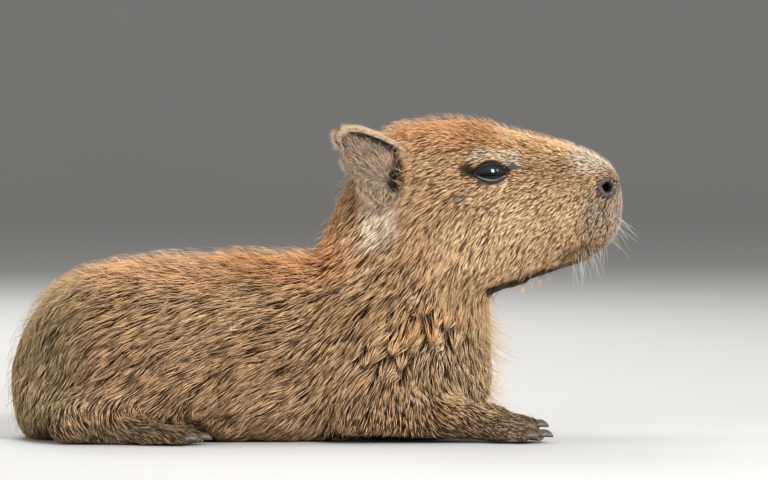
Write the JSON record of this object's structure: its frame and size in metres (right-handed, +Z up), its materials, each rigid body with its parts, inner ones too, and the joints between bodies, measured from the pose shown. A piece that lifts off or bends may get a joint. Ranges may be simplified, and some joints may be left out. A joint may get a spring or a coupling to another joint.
{
  "type": "young capybara",
  "caption": "A young capybara at life size, lying on its belly with its blunt head held up and level, its coarse coat in overlapping locks.",
  "frame": {"origin": "on the floor, at the middle of the animal's length and width", "axes": "+X the way the animal faces, +Y its left side, +Z up from the floor that it lies on"},
  "size_m": [0.4242, 0.1752, 0.2228],
  "materials": {
    "coat": "coarse, dull reddish-tan hair",
    "bare_skin": "thinly haired grey skin",
    "nail_horn": "dark worn horn",
    "eye_gloss": "wet gloss"
  },
  "bodies": {
    "root": {"torso": "coat", "neck": "coat", "head": "coat", "lower_jaw": "coat", "ear_left": "bare_skin", "eye_left": "eye_gloss", "fore_leg_left": "coat", "fore_foot_left": "coat", "hind_leg_left": "coat", "hind_foot_left": "coat", "nail_fore_left_1": "nail_horn", "nail_fore_left_2": "nail_horn", "nail_fore_left_3": "nail_horn", "nail_fore_left_4": "nail_horn", "nail_hind_left_1": "nail_horn", "nail_hind_left_2": "nail_horn", "nail_hind_left_3": "nail_horn", "ear_right": "bare_skin", "eye_right": "eye_gloss", "fore_leg_right": "coat", "fore_foot_right": "coat", "hind_leg_right": "coat", "hind_foot_right": "coat", "nail_fore_right_1": "nail_horn", "nail_fore_right_2": "nail_horn", "nail_fore_right_3": "nail_horn", "nail_fore_right_4": "nail_horn", "nail_hind_right_1": "nail_horn", "nail_hind_right_2": "nail_horn", "nail_hind_right_3": "nail_horn"}
  },
  "joints": []
}
